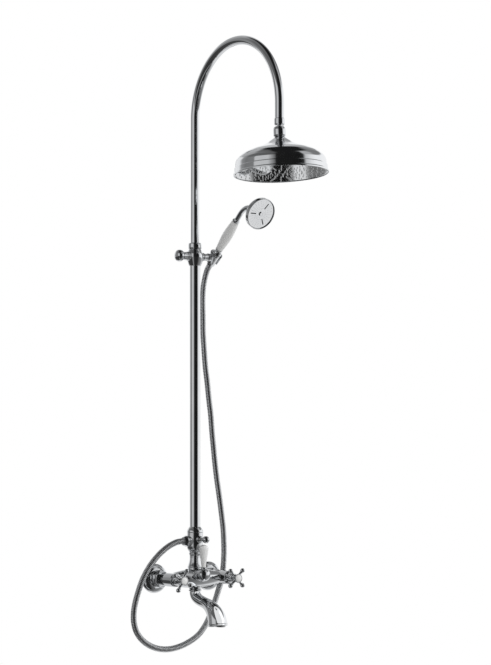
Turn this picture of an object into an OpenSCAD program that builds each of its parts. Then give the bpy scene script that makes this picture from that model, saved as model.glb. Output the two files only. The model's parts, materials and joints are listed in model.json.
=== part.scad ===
// Exposed bath and shower column: a wall-mounted two-handle mixer with a bath spout, a telescopic
// riser with a gooseneck arm and an apron rose, and a handset on a flexible hose.
// Millimetres. X is to the right, the wall is the plane y = 0 and the room is towards -Y, Z is up.
// The origin is on the wall, midway between the two inlets.

/* [Wall connection] */
// Distance between the centres of the two inlets
inlet_pitch = 150; // [146:1:154]
// Radius of the half-inch male inlet thread
inlet_thread_r = 10.48; // [10.3:0.02:10.6]
// Length of the inlet thread behind the wall's face
inlet_thread_len = 16; // [12:1:20]
// Radius of the round wall flanges
flange_r = 33.5; // [31:0.5:35]

/* [Mixer] */
// Distance of the mixer body and the riser from the wall
riser_off = 56; // [56:1:58]
// Radius of the body at its two ends
body_end_r = 14; // [13.5:0.5:15]
// Radius of the body at its middle
body_mid_r = 22; // [20.5:0.5:23]
// Angle of the hot handle's arms
hot_arm_angle = 62; // [0:1:89]
// Angle of the cold handle's arms
cold_arm_angle = 45; // [0:1:89]
// Distance of a handle's ball centres from its axis
handle_reach = 24; // [22:0.5:26]
// Height of the main diverter's axis above the inlets
lever_z = 9; // [8:0.5:10]

/* [Column] */
// Height of the top of the column's domed nut
column_top = 117; // [116:0.5:118]
// Height of the hose outlet's axis
outlet_z = 85; // [84:0.5:86]
// Height of the pull knob's axis
knob_z = 89; // [88:0.5:90]

/* [Riser and arm] */
// Radius of the lower riser
lower_r = 12; // [11.8:0.1:12.2]
// Radius of the upper riser and the arm
upper_r = 10; // [9.6:0.1:10.2]
// Height of the bracket's widest point
bracket_z = 731; // [720:1:740]
// Radius of the arm's half circle, at its centreline
arch_r = 156.5; // [152:0.5:160]
// Height at which the half circle starts
arch_z = 1041; // [1036:1:1046]

/* [Rose] */
// Radius of the rose's rim
rose_r = 103; // [101:1:104]
// Tilt of the rose, its face turned a little to the front
rose_tilt = 4; // [0:1:8]
// Drop from the end of the half circle to the swivel ball's centre
ball_drop = 62; // [60:1:64]

/* [Handset] */
// Distance of the handset's axis from the riser, to the right
cradle_x = 54; // [53:0.5:56]
// Lean of the handset's handle from upright, to the front
handset_lean = 47.5; // [44:0.5:49]
// Length of the porcelain grip
grip_len = 85; // [84:0.5:86]
// Radius of the handset's neck bend
neck_r = 42; // [40:1:44]
// Turn of the handset's neck
neck_turn = 67.5; // [66:0.5:69]

/* [Hose] */
// Outer radius of the hose
hose_r = 7; // [6.5:0.25:7]

/* [Hidden] */
$fn = 64;
CHROME = "#C7CCD1";
PORCELAIN = "#F4F3EE";
RUBBER = "#26282A";
BRASS = "#B9975B";

gap = 0.1;             // between pieces of one body
play = 0.3;            // between curved faces that move on each other
bore_r = 7.5;          // waterway through the body and its unions
inlet_x = inlet_pitch / 2;
shank_r = 4;           // handle spindles
riser_foot = 94;       // shoulder in the column that the riser stands on
valve_front = 88;      // front face of the valve bosses, from the wall
handle_off = 106.6;    // back of the handle hubs, from the wall
arms_off = 113.4;      // plane of the handles' arms, from the wall
lever_off = 90;        // lever's axis, from the wall
arm_end_off = riser_off + 2 * arch_r;
ball_z = arch_z - ball_drop;
plane_drop = 93.2;     // from the swivel ball down to the rose's rim
grip_start = 27;       // porcelain grip, from the cradle's axis along the handset
neck_start = grip_start + grip_len + 4;
bend_start = neck_start + 20;
socket_r = 11.2;       // handset's hose nut at its widest

// Points on an arc about c
function arc(c, r, a0, a1, n = 8) =
    [for (i = [0:n]) c + r * [cos(a0 + (a1 - a0) * i / n), sin(a0 + (a1 - a0) * i / n)]];

// A turned solid: outline is [radius, height] from bottom to top, with a straight bore
module turned(outline, bore = 0) {
    low = outline[0][1];
    high = outline[len(outline) - 1][1];
    rotate_extrude()
        polygon(concat([[bore, low]], outline, [[bore, high]]));
}

// Children's +Z points into the room, with z = 0 on the wall
module forward(x, z) {
    translate([x, 0, z])
        rotate([90, 0, 0])
            children();
}

// Children's +Z runs up the riser's axis
module on_riser() {
    translate([0, -riser_off, 0])
        children();
}

// Children's +Z points left or right from the riser's axis at height z
module leftward(z) {
    translate([0, -riser_off, z])
        rotate([0, -90, 0])
            children();
}
module rightward(z) {
    translate([0, -riser_off, z])
        rotate([0, 90, 0])
            children();
}

// Rose frame: z = 0 at the swivel ball's centre
module on_ball() {
    translate([0, -arm_end_off, ball_z])
        rotate([-rose_tilt, 0, 0])
            children();
}

// Rose frame with z = 0 at the rim's lower face
module on_rose() {
    on_ball()
        translate([0, 0, -plane_drop])
            children();
}

// Handset frame: +Z along the handle, z = 0 at the cradle's axis
module on_handset() {
    translate([cradle_x, -riser_off, bracket_z])
        rotate([handset_lean, 0, 0])
            children();
}

// Handset face frame: +Z out of the face, z = 0 at the end of the neck's bend
module on_face() {
    on_handset()
        translate([0, neck_r * (cos(neck_turn) - 1), bend_start + neck_r * sin(neck_turn)])
            rotate([neck_turn, 0, 0])
                children();
}

// ---- Swept tubes ----

function unit(v) = v / norm(v);
function ring_at(p, side, up, r, n) =
    [for (k = [0:n - 1]) p + r * (cos(360 * k / n) * side + sin(360 * k / n) * up)];

// Quads between rings a and b of n points, where a follows b round the tube wall
function wall(a, b, n) = [for (k = [0:n - 1]) [a + k, b + k, b + (k + 1) % n, a + (k + 1) % n]];

// ---- Wall connection ----

module wall_flange(x) {
    dome = [for (t = [0:15:90]) [19 + (flange_r - 19) * cos(t), 3 + 11 * sin(t)]];
    inside = [for (t = [90:-15:0]) [19 + (flange_r - 20.6) * cos(t), 3 + 9.4 * sin(t)]];
    color(CHROME)
        forward(x, 0)
            rotate_extrude()
                polygon(concat(
                    [[flange_r, 0]], dome,
                    [[18.4, 16.6], [17.6, 17.2], [13.3, 17.2], [13.3, 12.4]],
                    inside, [[flange_r - 1.6, 0]]));
}
module wall_flange_left() { wall_flange(-inlet_x); }
module wall_flange_right() { wall_flange(inlet_x); }

module inlet_union(x) {
    color(BRASS)
        forward(x, 0)
            turned([
                [inlet_thread_r, -inlet_thread_len], [inlet_thread_r, 0],
                [13.1, 0], [13.1, 27]], bore_r);
}
module inlet_union_left() { inlet_union(-inlet_x); }
module inlet_union_right() { inlet_union(inlet_x); }

module union_nut(x) {
    across_flats = 34;
    corner_r = across_flats / 2 / cos(30);
    color(CHROME)
        forward(x, 0)
            difference() {
                intersection() {
                    translate([0, 0, 19])
                        rotate([0, 0, 30])
                            cylinder(r = corner_r, h = 17.5, $fn = 6);
                    turned([[17.4, 19], [corner_r, 21], [corner_r, 34.5], [17.4, 36.5]]);
                }
                translate([0, 0, 18])
                    cylinder(r = 13.3, h = 13.2);
                cylinder(r = 11.6, h = 40);
            }
}
module union_nut_left() { union_nut(-inlet_x); }
module union_nut_right() { union_nut(inlet_x); }

module union_washers() {
    color(RUBBER)
        for (x = [-inlet_x, inlet_x])
            forward(x, 0)
                turned([[12.4, 27.1], [12.4, 29.4]], bore_r);
}

// ---- Mixer body ----

// The cast barrel: fat at the middle, tapering to a slight waist before each round end
taper_x = 69;
taper_end_r = body_end_r - 1.8;
function barrel_r(x) = body_mid_r - (body_mid_r - taper_end_r) * pow(x / taper_x, 1.9);
module barrel() {
    half = [for (x = [0:3:taper_x]) [barrel_r(x), x]];
    dome = arc([0, inlet_x], body_end_r, 0, 90, 8);
    translate([0, -riser_off, 0])
        rotate([0, 90, 0])
            for (m = [0, 1])
                mirror([0, 0, m])
                    rotate_extrude()
                        polygon(concat([[0, 0]], half, dome));
}

module mixer_body() {
    color(CHROME)
        difference() {
            union() {
                barrel();
                for (x = [-inlet_x, inlet_x]) {
                    // valve boss and the flanged inlet tail
                    forward(x, 0)
                        turned([[15.5, riser_off], [15.5, valve_front - 1], [14.5, valve_front]]);
                    forward(x, 0)
                        turned([[12.8, 29.5], [12.8, 31], [11.4, 31], [11.4, riser_off]]);
                }
                forward(0, lever_z)
                    turned([[12.6, riser_off], [12.6, 79.4], [12, 80]]);
                on_riser()
                    turned([[16.6, 10], [16.6, 25]]);
                on_riser()
                    turned([[13.4, -25.5], [13.4, -10]]);
            }
            rightward(0)
                translate([0, 0, -inlet_x])
                    cylinder(r = bore_r - 1, h = inlet_pitch);
            for (x = [-inlet_x, inlet_x]) {
                forward(x, 0)
                    translate([0, 0, 28])
                        cylinder(r = bore_r, h = riser_off - 28);
                forward(x, 0)
                    translate([0, 0, 64])
                        cylinder(r = 10, h = 26);
            }
            forward(0, lever_z)
                translate([0, 0, riser_off - 10])
                    cylinder(r = 8.1, h = 40);
            on_riser()
                translate([0, 0, -27])
                    cylinder(r = 8, h = 60);
        }
}

// Ceramic headwork inside a valve boss
module cartridge(x) {
    color(BRASS)
        forward(x, 0)
            turned([[9.9, 64], [9.9, 86], [7.5, 86], [7.5, 89]], shank_r + 0.05);
}
module cartridge_hot() { cartridge(-inlet_x); }
module cartridge_cold() { cartridge(inlet_x); }

// Chrome cover between the body and the handle
module bonnet(x) {
    color(CHROME)
        forward(x, 0)
            difference() {
                turned([
                    [14.4, 88.1], [14.8, 88.8], [14.4, 90.2], [12.4, 91], [12, 93],
                    [11.6, 97], [10.6, 101], [9.6, 103.4], [10, 104.2], [9.8, 105.6], [8.6, 106.2]]);
                translate([0, 0, 87])
                    cylinder(r = 7.7, h = 3);
                cylinder(r = shank_r + play, h = 120);
            }
}
module bonnet_hot() { bonnet(-inlet_x); }
module bonnet_cold() { bonnet(inlet_x); }

module spindle(x) {
    color(BRASS)
        forward(x, 0)
            turned([[shank_r, 66], [shank_r, 118]]);
}
module spindle_hot() { spindle(-inlet_x); }
module spindle_cold() { spindle(inlet_x); }

// Four turned arms with ball ends on a vase-shaped hub
module cross_handle(x, angle) {
    hub_front = 122;
    ball_r = 5.3;
    color(CHROME)
        forward(x, 0)
            difference() {
                union() {
                    turned([
                        [8.2, handle_off], [9, handle_off + 0.8], [8.6, 109.5], [8.8, 112],
                        [8.4, 116], [9.4, 118], [10.3, 119.4], [10.4, 121], [10, hub_front]]);
                    for (a = [0:90:270])
                        rotate([0, 0, angle + a])
                            translate([0, 0, arms_off])
                                rotate([0, 90, 0]) {
                                    turned([
                                        [4, 4], [4, 9], [3.3, 11], [2.9, 14], [2.8, 17.5],
                                        [3.5, 18.6], [3.5, 19.4], [2.6, 20.2], [2.6, handle_reach]]);
                                    translate([0, 0, handle_reach])
                                        sphere(r = ball_r);
                                }
                }
                cylinder(r = shank_r + 0.05, h = 118.2);
                translate([0, 0, 120])
                    cylinder(r = 8.5, h = 5);
            }
}
module cross_handle_hot() { cross_handle(-inlet_x, hot_arm_angle); }
module cross_handle_cold() { cross_handle(inlet_x, cold_arm_angle); }

// Porcelain button in the front of a handle
module index_button(x) {
    crown = [for (t = [0:15:75]) [8.4 * cos(t), 121.4 + 3.6 * sin(t)]];
    color(PORCELAIN)
        forward(x, 0)
            turned(concat([[8.4, 120.05]], crown, [[0.5, 125]]));
}
module index_hot() { index_button(-inlet_x); }
module index_cold() { index_button(inlet_x); }

// ---- Spout ----

// The centreline in [distance from the wall, height], as two cubic curves
neck_curve = [[56, -29.2], [56, -45], [72, -48.5], [91, -53]];
mouth_curve = [[91, -53], [113, -58.2], [140, -68], [145, -103]];
spout_wall = 2;
spout_neck_r = 12.4;
spout_flare = 9.1;     // growth of the radius from the neck to the mouth
spout_sides = 32;
spout_steps = 10;
function bezier(c, t) =
    pow(1 - t, 3) * c[0] + 3 * t * pow(1 - t, 2) * c[1] + 3 * t * t * (1 - t) * c[2] + pow(t, 3) * c[3];
function bezier_dir(c, t) =
    unit(pow(1 - t, 2) * (c[1] - c[0]) + 2 * t * (1 - t) * (c[2] - c[1]) + t * t * (c[3] - c[2]));
// Every station: [point, direction, outer radius]
spout_path = concat(
    [for (i = [0:spout_steps - 1]) [
        bezier(neck_curve, i / spout_steps), bezier_dir(neck_curve, i / spout_steps), spout_neck_r]],
    [for (i = [0:spout_steps]) [
        bezier(mouth_curve, i / spout_steps), bezier_dir(mouth_curve, i / spout_steps),
        spout_neck_r + spout_flare * (1 - cos(180 * pow(i / spout_steps, 0.85))) / 2]]);
function spout_ring(s, thinner) =
    ring_at([0, -s[0][0], s[0][1]], [1, 0, 0], [0, s[1][1], s[1][0]], s[2] - thinner, spout_sides);

module spout() {
    m = len(spout_path);
    n = spout_sides;
    outer = [for (s = spout_path) each spout_ring(s, 0)];
    inner = [for (s = spout_path) each spout_ring(s, spout_wall)];
    faces = concat(
        [for (i = [0:m - 2]) each wall(i * n, (i + 1) * n, n)],
        [for (i = [0:m - 2]) each wall((m + i + 1) * n, (m + i) * n, n)],
        wall((m - 1) * n, (2 * m - 1) * n, n),
        wall(m * n, 0, n));
    color(CHROME)
        polyhedron(points = concat(outer, inner), faces = faces, convexity = 6);
}

module spout_collar() {
    color(CHROME)
        on_riser()
            turned([[12.8, -29.1], [14.6, -28.6], [14.6, -26.2], [13.6, -25.6]], 9);
}

// Flow straightener, just inside the spout's mouth
module aerator() {
    mouth = spout_path[len(spout_path) - 1];
    color(CHROME)
        translate([0, -mouth[0][0], mouth[0][1]])
            rotate([atan2(mouth[1][0], -mouth[1][1]), 0, 0])
                difference() {
                    turned([[17.6, 1.5], [17, 8]]);
                    for (ring = [1:3])
                        for (a = [0:360 / (6 * ring):359])
                            rotate([0, 0, a])
                                translate([4.2 * ring, 0, 0])
                                    cylinder(r = 1.1, h = 10, $fn = 16);
                }
}

// ---- Main diverter ----

module diverter_cartridge() {
    color(BRASS)
        forward(0, lever_z)
            turned([[8, riser_off + 4], [8, 79.8]], 3.05);
}

module diverter_bonnet() {
    color(CHROME)
        forward(0, lever_z)
            turned([[12.8, 80.1], [13.3, 80.8], [13.3, 82], [12.4, 82.8]], 3.3);
}

module diverter_spindle() {
    color(BRASS)
        forward(0, lever_z)
            turned([[3, 62], [3, 88]]);
}

// Domed hub with the metal socket that holds the porcelain lever
module lever_hub() {
    color(CHROME)
        difference() {
            union() {
                forward(0, lever_z)
                    turned([
                        [13.8, 83.1], [14.8, 84.2], [14.8, 92], [14.3, 95], [12.6, 98.2],
                        [9.8, 100.8], [6.2, 102.4], [3, 103], [0.5, 103.1]]);
                translate([0, -lever_off, lever_z])
                    turned([[6, 6], [6, 13], [5.4, 14.4], [6.4, 15.2], [6.4, 16.6], [5.8, 17.4]]);
            }
            forward(0, lever_z)
                cylinder(r = 3.05, h = 88.2);
        }
}

module lever_grip() {
    tip = [for (t = [0:15:75]) [10.6 * cos(t), 61 + 7.6 * sin(t)]];
    color(PORCELAIN)
        translate([0, -lever_off, lever_z])
            turned(concat(
                [[5, 17.5], [5.3, 19], [5.4, 24], [6.4, 32], [8.2, 42], [9.7, 51], [10.5, 57]],
                tip, [[0.5, 68.6]]));
}

// ---- Column ----

module diverter_column() {
    color(CHROME)
        difference() {
            union() {
                on_riser()
                    turned([
                        [16.6, 25.1], [17, 26.5], [16, 29], [14.6, 33], [13, 39], [12.3, 44],
                        [12.3, 53], [13.4, 54.5], [14, 56.5], [13.4, 58.5], [12.8, 59.5],
                        [14.2, 62], [16.8, 65.5], [18.2, 69.5], [18.4, 72], [18.4, 103.9]]);
                leftward(outlet_z)
                    turned([[11.8, 0], [11.8, 19]]);
                forward(0, knob_z)
                    turned([[7.6, riser_off], [7.6, 76]]);
            }
            on_riser()
                translate([0, 0, 20])
                    cylinder(r = 8, h = riser_foot - 18);
            on_riser()
                translate([0, 0, riser_foot])
                    cylinder(r = lower_r + gap, h = 20);
            on_riser()
                translate([0, 0, 100])
                    cylinder(r = 15.2, h = 10);
            leftward(outlet_z)
                cylinder(r = 6.6, h = 30);
            forward(0, knob_z)
                translate([0, 0, riser_off])
                    cylinder(r = 4.6, h = 30);
        }
}

module column_seal() {
    color(RUBBER)
        on_riser()
            turned([[15.1, 100.1], [15.1, 103.8]], lower_r + 0.05);
}

module column_nut() {
    color(CHROME)
        on_riser()
            turned([
                [17.8, 104], [18.6, 104.8], [18.6, 107], [17.9, 109.6], [16.6, 112.2],
                [14.9, 114.6], [13.4, 116.2], [12.8, column_top]], lower_r + 0.05);
}

module hose_outlet() {
    color(CHROME)
        leftward(outlet_z)
            turned([
                [6.5, 10], [6.5, 19.1], [12.4, 19.1], [12.4, 21], [10.2, 21.4], [10.2, 29]], 5);
}

module knob_bush() {
    color(CHROME)
        forward(0, knob_z)
            difference() {
                turned([[4.5, 70], [4.5, 76.1], [7.2, 76.1], [7.2, 78], [5.6, 79.4], [5, 80.4]]);
                cylinder(r = 2.56, h = 100);
            }
}

module knob_spindle() {
    color(BRASS)
        forward(0, knob_z)
            turned([[2.5, 62], [2.5, 93]]);
}

module ball_knob() {
    color(CHROME)
        forward(0, knob_z)
            difference() {
                union() {
                    turned([[3.6, 82.4], [4.4, 83.2], [3.8, 85], [3.8, 94]]);
                    translate([0, 0, 98.4])
                        sphere(r = 8.4);
                }
                cylinder(r = 2.55, h = 93.2);
            }
}

// ---- Riser and bracket ----

module lower_riser() {
    riser_top = bracket_z + 11;
    color(CHROME)
        difference() {
            on_riser()
                turned([[lower_r, riser_foot + gap], [lower_r, riser_top]], lower_r - 1.2);
            leftward(bracket_z)
                cylinder(r = 3, h = 30);
        }
}

module riser_bracket() {
    z = bracket_z;
    color(CHROME)
        difference() {
            union() {
                on_riser()
                    turned([
                        [13.2, z - 21.5], [14, z - 20], [15.2, z - 17], [17, z - 11.5],
                        [18.3, z - 6], [18.9, z], [18.5, z + 5], [17.2, z + 10],
                        [15, z + 14.6], [13.4, z + 16.8]]);
                rightward(z)
                    turned([[9.4, 0], [9.4, 19.5], [8.8, 20.3]]);
                leftward(z)
                    turned([[9.6, 0], [9.6, 19.6]]);
            }
            on_riser()
                translate([0, 0, z - 30])
                    cylinder(r = lower_r + gap, h = 41.2);
            on_riser()
                translate([0, 0, z])
                    cylinder(r = upper_r + play, h = 30);
            leftward(z)
                cylinder(r = 2.9, h = 30);
        }
}

module gland_nut() {
    z = bracket_z + 16.9;
    color(CHROME)
        on_riser()
            difference() {
                turned([
                    [14, z], [15, z + 0.8], [15.3, z + 3], [15.3, z + 9], [15, z + 11.6],
                    [14, z + 13], [12.4, z + 13.8]]);
                cylinder(r = upper_r + play, h = z + 30);
                translate([0, 0, z + 3])
                    cylinder(r = 13, h = 6.6);
            }
}

// Split ring that seals on the sliding tube and turns with it
module gland_ring() {
    z = bracket_z + 19.9;
    color(RUBBER)
        on_riser()
            turned([[12.7, z + 0.3], [12.7, z + 6.3]], upper_r + play);
}

module lock_knob() {
    color(CHROME)
        leftward(bracket_z)
            turned([
                [2.5, 10.6], [2.5, 19.9], [9.4, 19.9], [10, 20.8], [10, 22.6], [9.2, 23.6],
                [9, 30], [9.3, 34.4], [11, 36.4], [12.7, 38.8], [13.4, 41.6],
                [13.4, 44.4], [12.7, 47.4], [10.8, 50], [7.4, 51.8], [3.6, 52.6], [0.5, 52.7]]);
}

module cradle_arm() {
    color(CHROME)
        rightward(bracket_z)
            turned([
                [8.9, 20.4], [9.4, 21.2], [9.2, 22.8], [8.2, 24], [7.9, 29], [8.2, 33.4],
                [9, 34.4], [9.2, 35.8], [8.6, 36.6]]);
}

// Cup on the end of the arm that the handset drops into, with a slot for the hose
module cradle() {
    color(CHROME)
        difference() {
            union() {
                on_handset()
                    turned([
                        [11.8, -13.5], [12.8, -13], [13.4, -10], [14, 0], [14.5, 9],
                        [15, 11], [14.8, 12.6], [14, 13.2]]);
                rightward(bracket_z)
                    turned([[8.4, 36.9], [8.8, 37.6], [8.4, cradle_x - 6]]);
            }
            on_handset()
                turned([[10.2, -14], [socket_r + 0.35, 9], [socket_r + 0.55, 14]]);
            on_handset()
                translate([0, -20, 0])
                    cube([15.6, 40, 60], center = true);
        }
}

// ---- Arm ----

module shower_arm() {
    tail_z = 545;
    wall_t = 1.2;
    end_z = ball_z + 21;
    color(CHROME) {
        on_riser()
            turned([[upper_r, tail_z], [upper_r, arch_z]], upper_r - wall_t);
        translate([0, -riser_off - arch_r, arch_z])
            rotate([0, 0, -90])
                rotate([90, 0, 0])
                    rotate_extrude(angle = 180)
                        translate([arch_r, 0])
                            difference() {
                                circle(r = upper_r);
                                circle(r = upper_r - wall_t);
                            }
        translate([0, -arm_end_off, 0])
            turned([[upper_r, end_z], [upper_r, arch_z]], upper_r - wall_t);
    }
}

module arm_collar() {
    z = ball_z + 12.5;
    color(CHROME)
        translate([0, -arm_end_off, 0])
            difference() {
                turned([
                    [9.4, z], [10.2, z + 0.6], [11.4, z + 2.6], [11.6, z + 5], [11.6, z + 12],
                    [11.3, z + 14.6], [10.3, z + 15.6]]);
                translate([0, 0, z + 8.4])
                    cylinder(r = upper_r + gap, h = 20);
                cylinder(r = 4.45, h = z + 30);
            }
}

// Ball stud screwed into the arm's end
module swivel_ball() {
    ball_r = 9;
    color(CHROME)
        translate([0, -arm_end_off, ball_z])
            difference() {
                union() {
                    sphere(r = ball_r);
                    cylinder(r = 4.4, h = 21);
                }
                translate([0, 0, -ball_r - 1])
                    cylinder(r = 2.6, h = 40);
            }
}

// Rubber seat under the ball
module ball_seat() {
    color(RUBBER)
        on_ball()
            rotate_extrude()
                polygon([[4.6, -8.4], [4.8, -8.85], [8.1, -6], [7.7, -5.7]]);
}

module swivel_nut() {
    socket_ball_r = 10.4;
    color(CHROME)
        on_ball()
            difference() {
                turned([
                    [11, -12], [12.6, -11.2], [13.4, -9], [13.6, -5], [13.6, 3],
                    [13, 6], [11.8, 8.4], [10.4, 9.6]]);
                sphere(r = socket_ball_r);
                cylinder(r = 8.3, h = 20);
                translate([0, 0, -13])
                    cylinder(r = 4, h = 10);
            }
}

// ---- Rose ----

// Outer outline of the bell and apron, from the rim up to the neck
rose_outline = [
    [rose_r, 0], [rose_r, 3], [rose_r - 1.6, 4.6], [100.8, 5], [100.6, 14.5],
    [98.8, 16], [98.4, 26], [96.6, 31.5], [92.4, 37], [85, 43.6], [74, 49.6],
    [59.4, 55], [47, 58.6], [38.4, 61.9], [30, 66.4], [23.4, 71.4], [16, 76.4], [12, 79.2],
    [11, 81.1]];

module head_shell() {
    skin = 1.4;
    inside = [for (i = [len(rose_outline) - 1:-1:1])
        [max(4, rose_outline[i][0] - skin - 0.4), rose_outline[i][1] - skin]];
    color(CHROME)
        on_rose()
            rotate_extrude($fn = 96)
                polygon(concat(rose_outline, [[4, 81.1], [4, 79.7]], inside, [[rose_r - 2.2, 0]]));
}

module nozzle_plate() {
    color(CHROME)
        on_rose()
            difference() {
                translate([0, 0, 1.2])
                    cylinder(r = 98, h = 2.4, $fn = 96);
                translate([0, 0, -1])
                    cylinder(r = 2.6, h = 10);
            }
}

module head_gasket() {
    color(RUBBER)
        on_rose()
            turned([[97.6, 3.7], [97.6, 5]], 92);
}

// Rubber jets in rings on the plate
module nozzles() {
    color(RUBBER)
        on_rose()
            for (ring = [1:4])
                for (i = [0:6 * ring - 1])
                    rotate([0, 0, (i + ring / 2) * 60 / ring])
                        translate([21 * ring, 0, -1])
                            cylinder(r = 1.8, h = 2.15, $fn = 16);
}

// ---- Handset ----

module handset_ferrule() {
    color(CHROME)
        on_handset()
            turned([
                [10.6, 14.2], [11.4, 14.9], [11, 16.6], [9.6, 18], [8.2, 21], [7.8, 24],
                [8.6, 25.4], [8.6, 26.6], [8, grip_start - 0.1]]);
}

module handset_grip() {
    a = grip_start;
    b = grip_start + grip_len;
    color(PORCELAIN)
        on_handset()
            turned([
                [7.4, a], [8.4, a + 1.5], [9.2, a + 8], [10.5, a + 20], [11.5, a + 32],
                [11.8, a + 43], [11.4, a + 55], [10.4, a + 67], [8.8, b - 4], [7.6, b - 0.1]], 5);
}

module handset_ring() {
    z = grip_start + grip_len;
    color(CHROME)
        on_handset()
            turned([[7.8, z], [8.8, z + 0.8], [8.8, z + 2.4], [7.2, z + 3.9]], 5);
}

module handset_neck() {
    tube_r = 6;
    inner_r = 3.8;
    color(CHROME) {
        on_handset()
            turned([
                [7.2, neck_start], [6.9, neck_start + 1.4], [tube_r, neck_start + 3],
                [tube_r, bend_start]], inner_r);
        on_handset()
            translate([0, -neck_r, bend_start])
                rotate([90, 0, 90])
                    rotate_extrude(angle = neck_turn)
                        translate([neck_r, 0])
                            difference() {
                                circle(r = tube_r);
                                circle(r = inner_r);
                            }
    }
}

module handset_shell() {
    color(CHROME)
        on_face()
            rotate_extrude()
                polygon([
                    [3.8, 0.05], [6, 0.05], [6, 5], [7.2, 6], [7.6, 9], [9.6, 11.2],
                    [12.6, 13.6], [18.4, 16.2], [25.8, 18.4], [32, 20.8], [35.2, 23.6],
                    [36.2, 27], [36.2, 34.4], [35.4, 35], [34.2, 34.6], [34, 32], [34.2, 28],
                    [33.2, 25], [30.8, 22.8], [24.6, 20.6], [17.4, 18.4], [11, 15.8],
                    [3.8, 13]]);
}

// Face plate with three radial slots
module handset_face() {
    color(CHROME)
        on_face()
            difference() {
                translate([0, 0, 30.4])
                    cylinder(r = 33.8, h = 2.2);
                for (a = [60:120:300])
                    rotate([0, 0, a])
                        translate([20.5, 0, 31.4])
                            cube([15, 2.4, 8], center = true);
                translate([0, 0, 28])
                    cylinder(r = 3, h = 10);
            }
}

module face_screw() {
    color(CHROME)
        on_face()
            turned([[2.9, 29], [2.9, 32.7], [5, 32.7], [4.9, 33.9], [3.6, 34.8], [0.5, 35]]);
}

// ---- Hose ----

module hose_nut_outlet() {
    color(CHROME)
        leftward(outlet_z)
            difference() {
                turned([
                    [11.4, 21.5], [12.3, 22.2], [12.3, 26.4], [11.6, 27.4], [10.4, 30], [9.2, 33]]);
                cylinder(r = 10.3, h = 29.2);
                cylinder(r = 5, h = 40);
            }
}

// Conical nut that sits in the cradle
module hose_nut_handset() {
    color(CHROME)
        on_handset()
            turned([
                [8.6, -21], [9.2, -20.4], [9.8, -14], [socket_r, 9.4], [socket_r, 13.4],
                [10.6, 14]], 4);
}

// The hose's centreline, [right, from the wall, up]
hose_route = [
    [-33.1, 56, 85], [-38, 56, 85], [-54, 56, 82.5], [-76, 56, 73], [-98, 56, 58], [-117, 56, 40],
    [-133, 56, 20], [-145, 56, 0], [-154, 56, -21], [-162, 56, -44], [-167, 56, -67],
    [-167, 56, -90], [-161, 56, -111], [-148, 56, -129], [-128, 56, -144], [-102, 56, -154],
    [-73, 56, -157], [-44, 56, -153], [-16, 55, -144], [11, 53, -130], [34, 48, -110],
    [54, 41, -86], [71, 33, -61], [86, 26, -37], [98, 21.5, -15], [104, 20.5, 5],
    [104, 24, 28], [101, 30, 55], [96, 36, 83], [91, 40, 113], [86, 40, 148],
    [81, 39, 184], [76, 37, 221], [72, 35, 258], [69, 33, 295], [66, 31, 333],
    [64, 29, 371], [60, 27, 409], [56, 26, 447], [52, 24, 485], [50, 22, 523],
    [48, 21, 561], [48, 20, 599], [48, 19, 636], [50, 19, 665], [53, 21, 686],
    [54, 26.6, 701.5], [54, 32.5, 709.4], [54, 40.3, 716.6],
];
hose_sides = 10;
hose_points = [for (p = hose_route) [p[0], -p[1], p[2]]];
function hose_dir(i) =
    unit(hose_points[min(i + 1, len(hose_points) - 1)] - hose_points[max(i - 1, 0)]);
// A side vector that stays square to the line and never flips: the hose runs mainly across Y
function hose_side(i) =
    let (d = hose_dir(i), f = [0, -1, 0])
    unit(cross(d, f));
function hose_ring(i) =
    let (side = hose_side(i))
    ring_at(hose_points[i], side, cross(side, hose_dir(i)), hose_r, hose_sides);

module shower_hose() {
    m = len(hose_points);
    n = hose_sides;
    color(CHROME)
        polyhedron(
            points = [for (i = [0:m - 1]) each hose_ring(i)],
            faces = concat(
                [for (i = [0:m - 2]) each wall(i * n, (i + 1) * n, n)],
                [[for (k = [0:n - 1]) k]],
                [[for (k = [n - 1:-1:0]) (m - 1) * n + k]]),
            convexity = 10);
}

wall_flange_left();
wall_flange_right();
inlet_union_left();
inlet_union_right();
union_nut_left();
union_nut_right();
union_washers();
mixer_body();
cartridge_hot();
cartridge_cold();
bonnet_hot();
bonnet_cold();
spindle_hot();
spindle_cold();
cross_handle_hot();
cross_handle_cold();
index_hot();
index_cold();
spout();
spout_collar();
aerator();
diverter_cartridge();
diverter_bonnet();
diverter_spindle();
lever_hub();
lever_grip();
diverter_column();
column_nut();
column_seal();
hose_outlet();
knob_bush();
knob_spindle();
ball_knob();
lower_riser();
riser_bracket();
gland_nut();
gland_ring();
lock_knob();
cradle_arm();
cradle();
shower_arm();
arm_collar();
swivel_ball();
ball_seat();
swivel_nut();
head_shell();
nozzle_plate();
nozzles();
head_gasket();
handset_ferrule();
handset_grip();
handset_ring();
handset_neck();
handset_shell();
handset_face();
face_screw();
hose_nut_outlet();
hose_nut_handset();
shower_hose();
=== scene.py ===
"""Looks of the exposed bath and shower column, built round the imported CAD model."""

import json
import math

import bmesh
import bpy
import numpy as np
from mathutils import Matrix, Vector


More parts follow.
